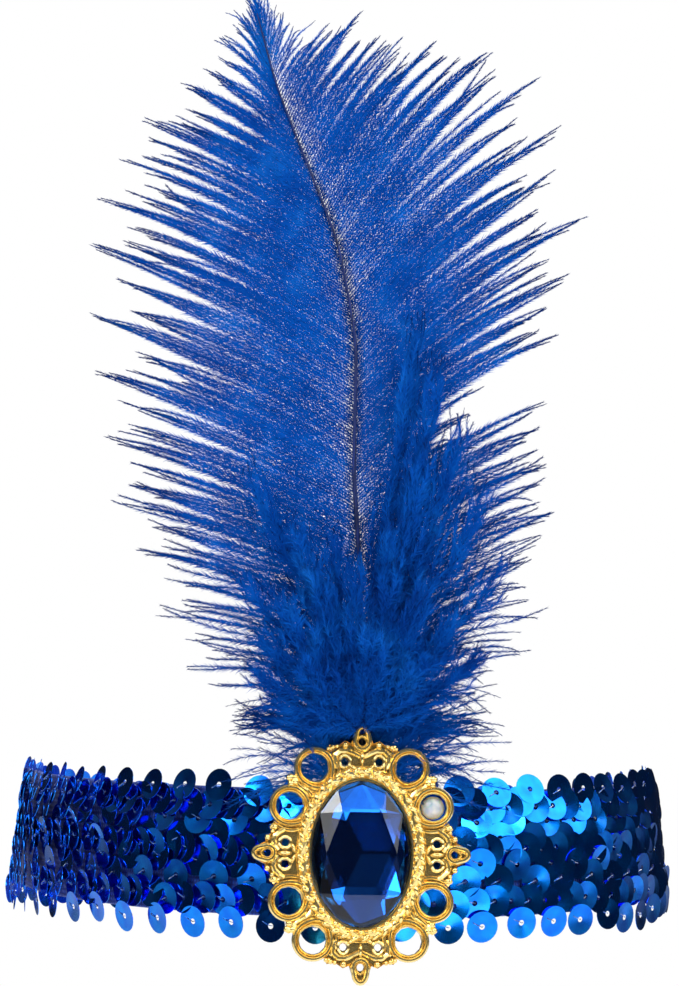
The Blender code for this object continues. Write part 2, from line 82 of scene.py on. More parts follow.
# Finials: turns in degrees, tip hole, side hole, tip and foot, then the line of a curl and the beads
# beside the petal; across and out, millimetres
FINIAL_KINDS = (
    ((0.0, 180.0), 23.2, (3.6, 19.1), 26.8, 17.2,
     ((0.4, 20.2), (1.8, 20.9), (3.2, 21.4), (4.6, 21.3), (5.6, 20.4), (5.7, 19.0), (5.2, 17.8)),
     ((3.5, 22.6, 0.65), (5.3, 22.3, 0.5), (6.2, 22.1, 0.55), (7.1, 21.8, 0.5))),
    ((90.0, 270.0), 19.5, (2.2, 15.8), 22.8, 13.0,
     ((0.7, 17.2), (1.5, 17.9), (2.6, 18.3), (3.6, 17.9), (4.4, 17.0), (5.0, 16.0)),
     ((3.2, 19.5, 0.65), (4.5, 18.5, 0.5), (5.4, 18.0, 0.6))),
)
STONE_HALF = (10.35, 15.15)
STONE_TABLE_CORNERS = ((4.1, 8.5), (7.3, 0.0), (4.1, -8.5), (-4.1, -8.5), (-7.3, 0.0), (-4.1, 8.5))

# Barbs: their spacing on the quill, and their barbules
BARB_SPACING = 0.66 * MM
BARBULE_SPACING = 0.21 * MM
BARBULE_LENGTH = 2.6 * MM
BARBULE_WIDTH = 0.21 * MM
BARBULE_LEAN = math.radians(36.0)

# Plume: the quill's line, metres from butt to tip, and its locks of barbs
QUILL_BUTT_HEIGHTS = (6.0 * MM, 27.0 * MM, 47.0 * MM)
QUILL_LINE = (
    (-0.4, -89.8, 74.0),
    (-2.4, -88.6, 100.0),
    (-2.2, -88.0, 128.0),
    (-6.4, -88.8, 149.0),
    (-14.0, -90.6, 167.0),
    (-20.6, -93.2, 182.0),
    (-25.4, -97.0, 198.0),
)
# Tip x, tip z, height of the root on the quill, width, how far the tip comes forward, millimetres
PLUME_LOCKS = (
    (-31, 195, 180, 7.5, 2),
    (-41, 182, 166, 10.0, 3),
    (-51, 174, 152, 11.5, 4),
    (-51, 165, 143, 11.5, 4),
    (-58, 158, 133, 13.0, 5),
    (-57, 146, 121, 14.5, 6),
    (-58, 131, 108, 15.5, 7),
    (-57, 119, 96, 15.5, 8),
    (-55, 106, 86, 15.0, 9),
    (-54, 93, 76, 14.5, 10),
    (-48, 82, 67, 14.0, 11),
    (-42, 69, 59, 13.0, 12),
    (-38, 57, 53, 12.0, 12),
    (-28, 47, 51, 10.0, 10),
    (-11, 194, 181, 7.0, 2),
    (-3, 198, 174, 8.5, 2),
    (5, 193, 166, 10.0, 3),
    (14, 194, 159, 11.0, 3),
    (25, 191, 151, 12.0, 4),
    (36, 185, 143, 12.5, 4),
    (40, 174, 136, 12.5, 5),
    (40, 165, 127, 13.0, 5),
    (44, 154, 118, 13.5, 6),
    (43, 143, 109, 13.5, 6),
    (42, 132, 100, 13.0, 7),
    (39, 115, 88, 13.5, 8),
    (41, 104, 79, 14.0, 9),
    (41, 92, 70, 14.0, 11),
    (36, 81, 62, 13.0, 12),
    (38, 71, 57, 12.5, 12),
    (34, 60, 53, 11.5, 12),
    (29, 46, 51, 10.0, 10),
)
# Short barbs above the highest locks: tip x, tip z, height of the root
TOP_BARBS_LEFT = (
    (-30.0, 197.5, 185),
    (-27.5, 201.0, 190),
    (-26.0, 203.0, 194),
)
TOP_BARBS_RIGHT = (
    (-15.0, 194.0, 183),
    (-19.5, 197.5, 187),
    (-23.0, 200.5, 190),
    (-25.2, 203.0, 194),
)
# Soft plumes that hang in front of the vane: tip x, tip z, height of the root, forward, width
FRONT_PLUMES = (
    (10, 133, 68, 6, 10.0),
    (15, 124, 62, 8, 12.0),
    (20, 112, 58, 9, 13.0),
    (12, 106, 56, 9, 11.0),
    (25, 98, 56, 11, 12.0),
    (-8, 88, 56, 7, 10.0),
    (-16, 90, 56, 9, 11.0),
    (-25, 101, 64, 7, 10.0),
    (6, 90, 54, 9, 10.0),
    (-11, 78, 50, 9, 10.0),
    (30, 82, 54, 11, 11.0),
    (-26, 78, 53, 10, 11.0),
)
NOTCH_HEIGHT = 94.5 * MM      # the right vane has a gap at its edge here, where barbs broke short
NOTCH_HALF = 4.5 * MM
NOTCH_REACH = 0.66
TUFT_ROOT_HEIGHT = 52.5 * MM
TUFT_LOCKS = (
    (-25, 58, 12, 12.0),
    (-23, 66, 10, 12.0),
    (-18, 74, 11, 12.0),
    (-11, 80, 8, 12.0),
    (-3, 82, 11, 11.0),
    (5, 80, 8, 11.0),
    (13, 78, 11, 12.0),
    (20, 71, 10, 12.0),
    (25, 62, 12, 11.0),
    (-14, 61, 13, 11.0),
    (1, 68, 14, 12.0),
    (14, 62, 13, 11.0),
)


# Colour and material helpers

def linear_colour(hex_colour):
    """Return an sRGB hex colour as linear RGBA."""
    channels = [int(hex_colour[i:i + 2], 16) / 255.0 for i in (0, 2, 4)]
    linear = [c / 12.92 if c <= 0.04045 else ((c + 0.055) / 1.055) ** 2.4 for c in channels]
    return (*linear, 1.0)


def add_node(tree, kind, settings=None, links=None):
    """Add a node; settings name its properties or inputs, and links give sockets for its inputs."""
    node = tree.nodes.new(kind)
    for key, value in (settings or {}).items():
        if isinstance(key, str) and hasattr(node, key):
            setattr(node, key, value)
        else:
            node.inputs[key].default_value = value
    for key, socket in (links or {}).items():
        tree.links.new(socket, node.inputs[key])
    return node


def new_material(name, settings):
    """Return a material, its node tree and its shader, with settings on the shader's sockets."""
    material = bpy.data.materials.new(name)
    material.use_nodes = True
    shader = material.node_tree.nodes["Principled BSDF"]
    for key, value in settings.items():
        shader.inputs[key].default_value = value
    return material, material.node_tree, shader


def colour_ramp(tree, factor, stops):
    """Add a colour ramp whose stops are pairs of a place and a hex colour."""
    node = add_node(tree, "ShaderNodeValToRGB", links={"Fac": factor})
    ramp = node.color_ramp
    while len(ramp.elements) < len(stops):
        ramp.elements.new(0.5)
    for element, (place, hex_colour) in zip(ramp.elements, stops):
        element.position = place
        element.color = linear_colour(hex_colour)
    return node.outputs["Color"]


def dyed_ostrich_barbs():
    """Ostrich barbs dyed royal blue: soft matt keratin, near black in the shafts and at the tips."""
    material, tree, shader = new_material("dyed_ostrich_barbs", {
        "Roughness": 0.7, "Specular IOR Level": 0.06})
    shade = add_node(tree, "ShaderNodeAttribute", {"attribute_name": "shade"}).outputs["Fac"]
    place = add_node(tree, "ShaderNodeTexCoord").outputs["Object"]
    # Dye takes unevenly from one clump of barbs to the next, over about 9 mm.
    patch = add_node(tree, "ShaderNodeTexNoise", {"Scale": 1.0 / (9.0 * MM), "Detail": 2.0},
                     {"Vector": place}).outputs["Fac"]
    dye = colour_ramp(tree, patch, ((0.30, "0048AC"), (0.55, "0058C0"), (0.75, "0C6CD2")))
    depth = colour_ramp(tree, shade, ((0.0, "FFFFFF"), (1.0, "38486A")))
    mix = add_node(tree, "ShaderNodeMix", {"data_type": "RGBA", "blend_type": "MULTIPLY", 0: 1.0},
                   {6: dye, 7: depth})
    tree.links.new(mix.outputs[2], shader.inputs["Base Color"])
    return material


def dyed_quill():
    """The quill: hard keratin dyed navy, with a dull gloss and fine streaks along it."""
    material, tree, shader = new_material("dyed_quill", {"Roughness": 0.4})
    place = add_node(tree, "ShaderNodeTexCoord").outputs["Object"]
    stretch = add_node(tree, "ShaderNodeMapping", {"Scale": (1.0, 1.0, 0.08)}, {"Vector": place})
    streak = add_node(tree, "ShaderNodeTexNoise", {"Scale": 1.0 / (0.5 * MM)},
                      {"Vector": stretch.outputs["Vector"]}).outputs["Fac"]
    tree.links.new(colour_ramp(tree, streak, ((0.3, "04123A"), (0.7, "0C2C78"))),
                   shader.inputs["Base Color"])
    return material


def metallised_sequin_film():
    """Sequins cut from metallised polyester film: a tinted mirror with slight waves."""
    material, tree, shader = new_material("metallised_sequin_film", {
        "Metallic": 1.0, "Roughness": 0.16, "Coat Weight": 0.25, "Coat Roughness": 0.08})
    place = add_node(tree, "ShaderNodeTexCoord").outputs["Object"]
    # The pressed film ripples a little over 3 mm.
    ripple = add_node(tree, "ShaderNodeTexNoise", {"Scale": 1.0 / (3.0 * MM), "Detail": 1.0},
                      {"Vector": place}).outputs["Fac"]
    tree.links.new(colour_ramp(tree, ripple, ((0.3, "0070F4"), (0.7, "008CFF"))),
                   shader.inputs["Base Color"])
    bump = add_node(tree, "ShaderNodeBump", {"Strength": 0.12, "Distance": 0.2 * MM}, {"Height": ripple})
    tree.links.new(bump.outputs["Normal"], shader.inputs["Normal"])
    return material


def woven_elastic():
    """Royal blue braided elastic: ribs along its length, crossed by rubber-cored picks."""
    material, tree, shader = new_material("woven_elastic", {
        "Roughness": 0.75, "Sheen Weight": 0.3, "Sheen Roughness": 0.5})
    cloth = add_node(tree, "ShaderNodeUVMap").outputs["UV"]
    # UV runs in millimetres: ribs 1.1 mm apart across the band, picks 0.7 mm apart along it.
    ribs = add_node(tree, "ShaderNodeTexWave", {"bands_direction": "Y", "Scale": math.tau / 20.0 / 1.1},
                    {"Vector": cloth}).outputs["Fac"]
    picks = add_node(tree, "ShaderNodeTexWave", {"bands_direction": "X", "Scale": math.tau / 20.0 / 0.7},
                     {"Vector": cloth}).outputs["Fac"]
    weave_relief_and_painted_shade = add_node(tree, "ShaderNodeMath", {"operation": "MULTIPLY"}, {0: ribs, 1: picks}).outputs[0]
    # The furrows between ribs and picks are coloured darker: painted shade in the recesses of the weave, on top of
    # the bump that shapes them.
    tree.links.new(colour_ramp(tree, weave_relief_and_painted_shade, ((0.0, "002A80"), (0.6, "0048B4"))),
                   shader.inputs["Base Color"])
    bump = add_node(tree, "ShaderNodeBump", {"Strength": 0.6, "Distance": 0.25 * MM}, {"Height": weave_relief_and_painted_shade})
    tree.links.new(bump.outputs["Normal"], shader.inputs["Normal"])
    return material


def monofilament():
    """Clear nylon sewing thread, which holds each sequin by its hole and glints, with painted glints and painted
    shade in patches along it.
    """
    material, tree, shader = new_material("monofilament", {
        "Roughness": 0.12, "Transmission Weight": 0.35, "IOR": 1.53})
    place = add_node(tree, "ShaderNodeTexCoord").outputs["Object"]
    # Painted light: noise spreads pale blue patches as painted glints and dark navy patches as painted shade along
    # the thread.
    painted_glints_and_shade = add_node(tree, "ShaderNodeTexNoise", {"Scale": 1.0 / (0.8 * MM)}, {"Vector": place}).outputs["Fac"]
    tree.links.new(colour_ramp(tree, painted_glints_and_shade, ((0.35, "0E2A66"), (0.65, "7FA6E8"))),
                   shader.inputs["Base Color"])
    return material


def gilt_moulding():
    """Vacuum-plated gold under lacquer on moulded plastic: bright and a little milky, with soft dimples."""
    material, tree, shader = new_material("gilt_moulding", {"Metallic": 0.88, "Roughness": 0.18})
    place = add_node(tree, "ShaderNodeTexCoord").outputs["Object"]
    dimple = add_node(tree, "ShaderNodeTexNoise", {"Scale": 1.0 / (1.6 * MM), "Detail": 3.0},
                      {"Vector": place}).outputs["Fac"]
    tree.links.new(colour_ramp(tree, dimple, ((0.3, "F8D680"), (0.7, "FFE69C"))),
                   shader.inputs["Base Color"])
    bump = add_node(tree, "ShaderNodeBump", {"Strength": 0.25, "Distance": 0.15 * MM}, {"Height": dimple})
    tree.links.new(bump.outputs["Normal"], shader.inputs["Normal"])
    return material


def sapphire_acrylic():
    """Cut acrylic dyed sapphire blue: clear, with polished flat facets."""
    material, tree, shader = new_material("sapphire_acrylic", {
        "Roughness": 0.02, "IOR": 1.49, "Transmission Weight": 1.0})
    place = add_node(tree, "ShaderNodeTexCoord").outputs["Object"]
    cloud = add_node(tree, "ShaderNodeTexNoise", {"Scale": 1.0 / (9.0 * MM)}, {"Vector": place}).outputs["Fac"]
    tree.links.new(colour_ramp(tree, cloud, ((0.3, "2C8CF0"), (0.7, "369AF6"))),
                   shader.inputs["Base Color"])
    return material


def stone_foil():
    """The silvered backing of the stone, a mirror that throws light back through the facets."""
    material, tree, shader = new_material("stone_foil", {"Metallic": 1.0, "Roughness": 0.06})
    place = add_node(tree, "ShaderNodeTexCoord").outputs["Object"]
    grain = add_node(tree, "ShaderNodeTexNoise", {"Scale": 1.0 / (2.0 * MM)}, {"Vector": place}).outputs["Fac"]
    tree.links.new(colour_ramp(tree, grain, ((0.3, "8CB0E4"), (0.7, "9CC0EE"))),
                   shader.inputs["Base Color"])
    return material


def hot_melt_glue():
    """A set drop of hot-melt glue: milky, waxy and half clear."""
    material, tree, shader = new_material("hot_melt_glue", {
        "Roughness": 0.28, "Subsurface Weight": 0.5, "Subsurface Scale": 1.0 * MM, "IOR": 1.48,
        "Transmission Weight": 0.25})
    place = add_node(tree, "ShaderNodeTexCoord").outputs["Object"]
    cloud = add_node(tree, "ShaderNodeTexNoise", {"Scale": 1.0 / (1.2 * MM)}, {"Vector": place}).outputs["Fac"]
    tree.links.new(colour_ramp(tree, cloud, ((0.3, "C9D4E4"), (0.7, "F2F4F2"))),
                   shader.inputs["Base Color"])
    return material


def painted_board():
    """The studio floor: matt white paint on board."""
    material, tree, shader = new_material("painted_board", {"Roughness": 0.9})
    place = add_node(tree, "ShaderNodeTexCoord").outputs["Object"]
    roller = add_node(tree, "ShaderNodeTexNoise", {"Scale": 1.0 / (12.0 * MM)}, {"Vector": place}).outputs["Fac"]
    tree.links.new(colour_ramp(tree, roller, ((0.3, "F2F2F2"), (0.7, "F5F5F5"))),
                   shader.inputs["Base Color"])
    return material


# Mesh helpers

class Shapes:
    """Collects arrays of points and faces, and makes one mesh of them."""

    def __init__(self):
        self.points = []
        self.faces = []
        self.shade = []
        self.count = 0

    def add(self, points, faces, shade=0.0):
        self.points.append(np.asarray(points, dtype=np.float64).reshape(-1, 3))
        added = len(self.points[-1])
        for block in faces:
            self.faces.append(np.asarray(block, dtype=np.int64) + self.count)
        self.shade.append(np.broadcast_to(np.asarray(shade, dtype=np.float64), (added,)))
        self.count += added

    def piece(self, name, material, smooth=True):
        """Make the object, which rides on the part and takes the given material."""
        points = np.concatenate(self.points)
        corners = np.concatenate([block.ravel() for block in self.faces])
        sizes = np.concatenate([np.full(len(block), block.shape[1]) for block in self.faces])
        starts = np.concatenate([[0], np.cumsum(sizes)[:-1]])
        mesh = bpy.data.meshes.new(name)
        mesh.vertices.add(len(points))
        mesh.vertices.foreach_set("co", points.ravel())
        mesh.loops.add(len(corners))
        mesh.loops.foreach_set("vertex_index", corners)
        mesh.polygons.add(len(sizes))
        mesh.polygons.foreach_set("loop_start", starts)
        mesh.polygons.foreach_set("use_smooth", np.full(len(sizes), smooth))
        mesh.update(calc_edges=True)
        mesh.attributes.new("shade", "FLOAT", "POINT").data.foreach_set("value", np.concatenate(self.shade))
        mesh.set_sharp_from_angle(angle=math.radians(40.0))
        mesh.materials.append(material)
        obj = bpy.data.objects.new(name, mesh)
        bpy.context.scene.collection.objects.link(obj)
        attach(obj, "root")
        return obj


def unit(vectors):
    """Return vectors of length one."""
    return vectors / np.linalg.norm(vectors, axis=-1, keepdims=True)


def grid_faces(rows, columns, closed_rows=False, closed_columns=False):
    """Return the quads of a grid of points, whose ends may meet either way."""
    row = np.arange(rows if closed_rows else rows - 1)[:, None]
    column = np.arange(columns if closed_columns else columns - 1)[None, :]
    next_row = (row + 1) % rows
    next_column = (column + 1) % columns
    quads = np.stack([row * columns + column, row * columns + next_column,
                      next_row * columns + next_column, next_row * columns + column], axis=-1)
    return quads.reshape(-1, 4)


def tube(shapes, path, radii, sides, shade=0.0):
    """Add a round tube with closed ends along an open path."""
    path = np.asarray(path)
    heading = unit(np.gradient(path, axis=0))
    helper = np.array([0.3, 0.9, 0.2])
    first = unit(np.cross(heading, helper))
    second = np.cross(heading, first)
    turns = np.arange(sides) * math.tau / sides
    ring = first[:, None, :] * np.cos(turns)[None, :, None] + second[:, None, :] * np.sin(turns)[None, :, None]
    radii = np.broadcast_to(np.asarray(radii, dtype=float), (len(path),))
    points = path[:, None, :] + ring * radii[:, None, None]
    caps = [np.arange(sides)[None, :], ((len(path) - 1) * sides + np.arange(sides)[::-1])[None, :]]
    shades = np.repeat(np.broadcast_to(np.asarray(shade, dtype=float), (len(path),)), sides)
    shapes.add(points, [grid_faces(len(path), sides, closed_columns=True)[:, ::-1]] + caps, shades)


# Band and sequins

def oval_point(angle, height, out):
    """Return a point at a distance out from the elastic's outer face; angle 0 is the front."""
    half_width = BAND_HALF_WIDTH - BAND_SLOPE * height
    half_depth = BAND_HALF_DEPTH - BAND_SLOPE * height
    sin, cos = np.sin(angle), np.cos(angle)
    drop = BACK_DROP * (np.hypot(cos, BACK_BEND) - cos) / 2.0
    normal = unit(np.stack([half_depth * sin, -half_width * cos, np.zeros_like(sin)], axis=-1))
    base = np.stack([half_width * sin, -half_depth * cos, height - drop], axis=-1)
    return base + normal * np.asarray(out)[..., None]


def even_angles(count):
    """Return angles that divide the oval into equal lengths, from the front round."""
    fine = np.linspace(0.0, math.tau, 3601)
    points = oval_point(fine, 0.0, 0.0)
    lengths = np.concatenate([[0.0], np.cumsum(np.linalg.norm(np.diff(points, axis=0), axis=1))])
    return np.interp(np.arange(count) / count * lengths[-1], lengths, fine)


def elastic_band(material):
    """The elastic: both faces and rounded edges, as a closed loop."""
    stations = 344
    edge = BAND_THICKNESS / 2.0
    section = []
    rows = 14
    for i in range(rows + 1):
        section.append((BAND_LOW + edge + (BAND_HIGH - BAND_LOW - 2.0 * edge) * i / rows, 0.0))
    for turn in (45.0, 90.0, 135.0):
        section.append((BAND_HIGH - edge + edge * math.sin(math.radians(turn)),
                        -edge + edge * math.cos(math.radians(turn))))
    for i in range(rows, -1, -1):
        section.append((BAND_LOW + edge + (BAND_HIGH - BAND_LOW - 2.0 * edge) * i / rows, -2.0 * edge))
    for turn in (135.0, 90.0, 45.0):
        section.append((BAND_LOW + edge - edge * math.sin(math.radians(turn)),
                        -edge + edge * math.cos(math.radians(turn))))
    angles = even_angles(stations)
    points = np.stack([oval_point(angles, height, np.full(stations, out)) for height, out in section], axis=1)
    shapes = Shapes()
    shapes.add(points, [grid_faces(stations, len(section), True, True)])
    band = shapes.piece("elastic_loop", material)
    # The cloth's own coordinates, in millimetres along the band and up it
    length = BAND_LENGTH / MM
    uv = band.data.uv_layers.new(name="cloth")
    index = np.empty(len(band.data.loops), dtype=np.int64)
    band.data.loops.foreach_get("vertex_index", index)
    station = index // len(section)
    height = points.reshape(-1, 3)[index, 2] / MM
    first_of_face = np.repeat(station[::4], 4)
    station = np.where((first_of_face > stations // 2) & (station == 0), stations, station)
    flat = np.stack([station / stations * length, height], axis=1)
    uv.data.foreach_set("uv", flat.ravel())
    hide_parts("elastic_band")


def sequin_disc():
    """Return the points and faces of one shallow cone of film about its hole, which faces +Z."""
    turns = np.arange(SEQUIN_SIDES) * math.tau / SEQUIN_SIDES
    profile = ((SEQUIN_HOLE, 0.0), (SEQUIN_RADIUS, SEQUIN_CONE),
               (SEQUIN_RADIUS, SEQUIN_CONE - SEQUIN_GAUGE), (SEQUIN_HOLE, -SEQUIN_GAUGE))
    rings = [np.stack([radius * np.cos(turns), radius * np.sin(turns), np.full(SEQUIN_SIDES, z)], axis=1)
             for radius, z in profile]
    return np.concatenate(rings), grid_faces(len(profile), SEQUIN_SIDES, True, True)


def rotation(axis, angle):
    """Return a 3 by 3 rotation matrix."""
    return np.array(Matrix.Rotation(angle, 3, axis))


def sequin_strand(name, material, thread_shapes, rng):
    """A zigzag chain of sequins: every disc's right edge lies over its right neighbour."""
    middle, swing, lean_back = SEQUIN_STRANDS[name]
    disc, disc_faces = sequin_disc()
    shapes = Shapes()
    for i, angle in enumerate(even_angles(SEQUIN_COUNT)):
        step = ZIGZAG[i % len(ZIGZAG)]
        height = middle + step * swing + rng.normal(0.0, 0.35 * MM)
        turn = angle + rng.normal(0.0, 0.005)
        out = DISC_OUT + rng.uniform(0.0, 0.25 * MM)
        lean = lean_back + rng.normal(0.0, 5.0)
        if name == "sequin_strand_lower" and step < 0.0:
            # The lowest discs hang free of the elastic, some of them further down.
            height -= abs(rng.normal(0.0, 0.7 * MM))
            lean -= 3.0
        centre = oval_point(np.array(turn), height, out)
        right = unit(oval_point(np.array(turn + 0.01), height, 0.0) - oval_point(np.array(turn - 0.01), height, 0.0))
        up = unit(oval_point(np.array(turn), height + MM, 0.0) - oval_point(np.array(turn), height - MM, 0.0))
        basis = np.stack([right, up, np.cross(right, up)], axis=1)
        shingle = SHINGLE_ANGLE + rng.normal(0.0, math.radians(4.5))
        spin = rotation("Z", rng.uniform(0.0, math.tau))
        place = basis @ rotation("Y", -shingle) @ rotation("X", -math.radians(lean))
        shapes.add(centre + disc @ (place @ spin).T, [disc_faces])
        # The thread leaves the hole towards the previous disc, down or up to the left
        slope = 0.9 * (step - ZIGZAG[(i - 1) % len(ZIGZAG)])
        knots = np.array([(0.3, 0.0, -0.3), (0.0, 0.0, 0.14), (-0.7, -0.35 * slope, 0.22),
                          (-1.6, -0.8 * slope, 0.18), (-2.4, -1.3 * slope, -0.2)]) * MM
        knots += rng.normal(0.0, 0.06 * MM, knots.shape)
        tube(thread_shapes, centre + knots @ place.T, 0.1 * MM, 5)
    strand = shapes.piece(name + "_discs", material)
    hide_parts(name)


# Medallion

def medallion_matrix():
    """Return the matrix that takes the medallion's plane, in millimetres, to its place on the band."""
    front = oval_point(np.array(0.0), MEDALLION_HEIGHT, MEDALLION_BACK)
    tilt = math.pi / 2.0 - math.atan(BAND_SLOPE)
    return Matrix.Translation(Vector(front)) @ Matrix.Rotation(tilt, 4, "X") @ Matrix.Scale(MM, 4)


def on_medallion(points):
    """Return points of the medallion's plane in world space."""
    matrix = np.array(medallion_matrix())
    points = np.asarray(points, dtype=float)
    return points @ matrix[:3, :3].T + matrix[:3, 3]


def swept_loop(shapes, outline, w, across, rise, sides=10):
    """Add a closed rounded bead that follows an outline in the medallion's plane."""
    outline = np.asarray(outline)
    heading = unit(np.roll(outline, -1, axis=0) - np.roll(outline, 1, axis=0))
    side = np.stack([heading[:, 1], -heading[:, 0]], axis=1)
    turns = np.arange(sides) * math.tau / sides
    u = outline[:, None, 0] + side[:, None, 0] * np.cos(turns) * across
    v = outline[:, None, 1] + side[:, None, 1] * np.cos(turns) * across
    height = np.broadcast_to(w + rise * np.sin(turns), u.shape)
    points = np.stack([u, v, height], axis=-1).reshape(-1, 3)
    shapes.add(on_medallion(points), [grid_faces(len(outline), sides, True, True)])


def pebble(shapes, u, v, w, half_sizes, turn=0.0, rings=6, sides=10):
    """Add an ellipsoid, turned in the medallion's plane."""
    a, b, c = half_sizes
    tilt = np.linspace(0.0, math.pi, rings + 1)[1:-1]
    turns = np.arange(sides) * math.tau / sides
    x = a * np.sin(tilt)[:, None] * np.cos(turns)
    y = b * np.sin(tilt)[:, None] * np.sin(turns)
    z = np.broadcast_to(c * np.cos(tilt)[:, None], x.shape)
    body = np.stack([x, y, z], axis=-1).reshape(-1, 3)
    body = np.concatenate([body, [[0.0, 0.0, c], [0.0, 0.0, -c]]])
    cos, sin = math.cos(turn), math.sin(turn)
    points = np.stack([u + body[:, 0] * cos - body[:, 1] * sin,
                       v + body[:, 0] * sin + body[:, 1] * cos, w + body[:, 2]], axis=1)
    count = len(tilt)
    top = np.stack([np.full(sides, count * sides), np.arange(sides), (np.arange(sides) + 1) % sides], axis=1)
    base = (count - 1) * sides
    low = np.stack([np.full(sides, count * sides + 1), base + (np.arange(sides) + 1) % sides,
                    base + np.arange(sides)], axis=1)
    shapes.add(on_medallion(points), [grid_faces(count, sides, closed_columns=True)[:, ::-1], top, low])


def drop_outline(u, v, radius, point, direction, count=40):
    """Return a ring outline drawn out to a point in one direction."""
    turns = np.arange(count) * math.tau / count
    reach = radius + point * np.maximum(0.0, np.cos(turns - direction)) ** 5
    return np.stack([u + reach * np.cos(turns), v + reach * np.sin(turns)], axis=1)


def ridge(shapes, points, w, radius):
    """Add a raised ridge along a line in the medallion's plane, which sinks in at both ends."""
    points = np.asarray(points)
    rise = np.sin(np.linspace(0.15, 0.85, len(points)) * math.pi)
    line = np.concatenate([points, (w + 0.35 * rise)[:, None]], axis=1)
    tube(shapes, on_medallion(line), radius * (0.55 + 0.45 * rise) * MM, 8)


def eyelet_relief(shapes, u, v):
    """The eyelet's broad rim, drawn out a little towards the bezel, a thin inner lip, and two drapes."""
    inward = math.atan2(-v, -u)
    swept_loop(shapes, drop_outline(u, v, 3.85, 0.6, inward), 2.05, 0.5, 0.95)
    swept_loop(shapes, drop_outline(u, v, 3.08, 0.2, inward, 32), 2.0, 0.28, 0.6, 8)
    for start, end in ((0.5, 1.75), (-0.5, -1.75)):
        turns = inward + np.linspace(start, end, 12)
        radius = np.linspace(5.3, 4.75, 12)
        ridge(shapes, np.stack([u + radius * np.cos(turns), v + radius * np.sin(turns)], axis=1), 1.85, 0.4)


def notch_relief(shapes, side, rise):
    """Between two eyelets: a ridge that runs to the bezel, and a cluster of beads outside."""
    (u1, v1), (u2, v2) = EYELETS
    along = np.array([u2 - u1, v2 - v1]) / math.hypot(u2 - u1, v2 - v1)
    out = np.array([-along[1], along[0]])
    middle = np.array([(u1 + u2) / 2.0, (v1 + v2) / 2.0])
    turn = math.atan2(out[1] * rise, out[0] * side)
    for shift, length in ((-0.8, 1.7), (0.0, 2.4), (0.8, 1.7)):
        u, v = middle + along * shift - out * 0.9
        pebble(shapes, side * u, rise * v, 2.0, (length, 0.36, 0.6), turn)
    for a, b, radius in ((-0.75, 2.3, 0.78), (0.75, 2.3, 0.78), (0.0, 3.3, 0.7)):
        u, v = middle + along * a + out * b
        pebble(shapes, side * u, rise * v, 2.1, (radius, radius, radius))


def finial_relief(shapes, turn, tip_hole, side_hole, tip, foot, curl, beads):
    """A trefoil finial: a pointed petal, two holes under curls that meet in a V, a stem and beads."""
    cos, sin = math.cos(turn), math.sin(turn)

    def placed(outline):
        outline = np.asarray(outline)
        return np.stack([outline[:, 0] * cos - outline[:, 1] * sin,
                         outline[:, 0] * sin + outline[:, 1] * cos], axis=1)

    def pebble_at(a, b, half_sizes, pebble_turn=0.0):
        pebble(shapes, a * cos - b * sin, a * sin + b * cos, 2.35, half_sizes, pebble_turn + turn)

    up = math.pi / 2.0
    swept_loop(shapes, placed(drop_outline(0.0, tip_hole, 1.5, tip - tip_hole - 2.0, up)), 2.35, 0.6, 0.85)
    swept_loop(shapes, placed(drop_outline(0.0, tip_hole, 0.95, 0.4, up, 24)), 2.3, 0.2, 0.4, 8)
    for mirror in (1, -1):
        a, b = side_hole[0] * mirror, side_hole[1]
        swept_loop(shapes, placed(drop_outline(a, b, 1.15, 0.3, up, 24)), 2.25, 0.32, 0.5, 8)
        line = np.array(curl) * (mirror, 1.0)
        fine = np.linspace(0.0, len(line) - 1.0, 25)
        line = np.stack([np.interp(fine, range(len(line)), line[:, axis]) for axis in (0, 1)], axis=1)
        ridge(shapes, placed(line), 2.1, 0.6)
        pebble_at(a * 0.5, (b + foot) / 2.0 - 0.3, (1.1, 0.4, 0.6), 0.5 * mirror)
        for across, out, radius in beads:
            pebble_at(across * mirror, out, (radius, radius, 0.7))
    pebble_at(0.0, (foot + tip_hole) / 2.0 - 0.4, (0.5, 1.5, 0.85))


def rope_relief(shapes):
    """The bezel's rope: an outer row of leaning leaves and an inner row of beads, between thin lips."""
    rows = ((0.70, 44, 0.62, (1.3, 0.6, 0.75)), (0.26, 46, 0.0, (0.7, 0.55, 0.7)))
    for row, leaves, lean, half_sizes in rows:
        half = [inner + (outer - inner) * row for inner, outer in zip(BEZEL_INNER, BEZEL_OUTER)]
        fine = np.linspace(0.0, math.tau, 721)
        oval = np.stack([half[0] * np.sin(fine), half[1] * np.cos(fine)], axis=1)
        lengths = np.concatenate([[0.0], np.cumsum(np.linalg.norm(np.diff(oval, axis=0), axis=1))])
        offset = 0.5 if row > 0.5 else 0.0
        places = np.interp((np.arange(leaves) + offset) / leaves * lengths[-1], lengths, fine)
        for angle in places:
            u, v = half[0] * math.sin(angle), half[1] * math.cos(angle)
            heading = math.atan2(-half[1] * math.sin(angle), half[0] * math.cos(angle))
            pebble(shapes, u, v, 2.85, half_sizes, heading + lean)
    turns = np.linspace(0.0, math.tau, 97)[:-1]
    for spread, w, across, rise in ((0.04, 2.45, 0.28, 0.5), (0.5, 2.5, 0.25, 0.5), (0.97, 2.2, 0.3, 0.6)):
        half = [inner + (outer - inner) * spread for inner, outer in zip(BEZEL_INNER, BEZEL_OUTER)]
        outline = np.stack([half[0] * np.sin(turns), half[1] * np.cos(turns)], axis=1)
        swept_loop(shapes, outline, w, across, rise)


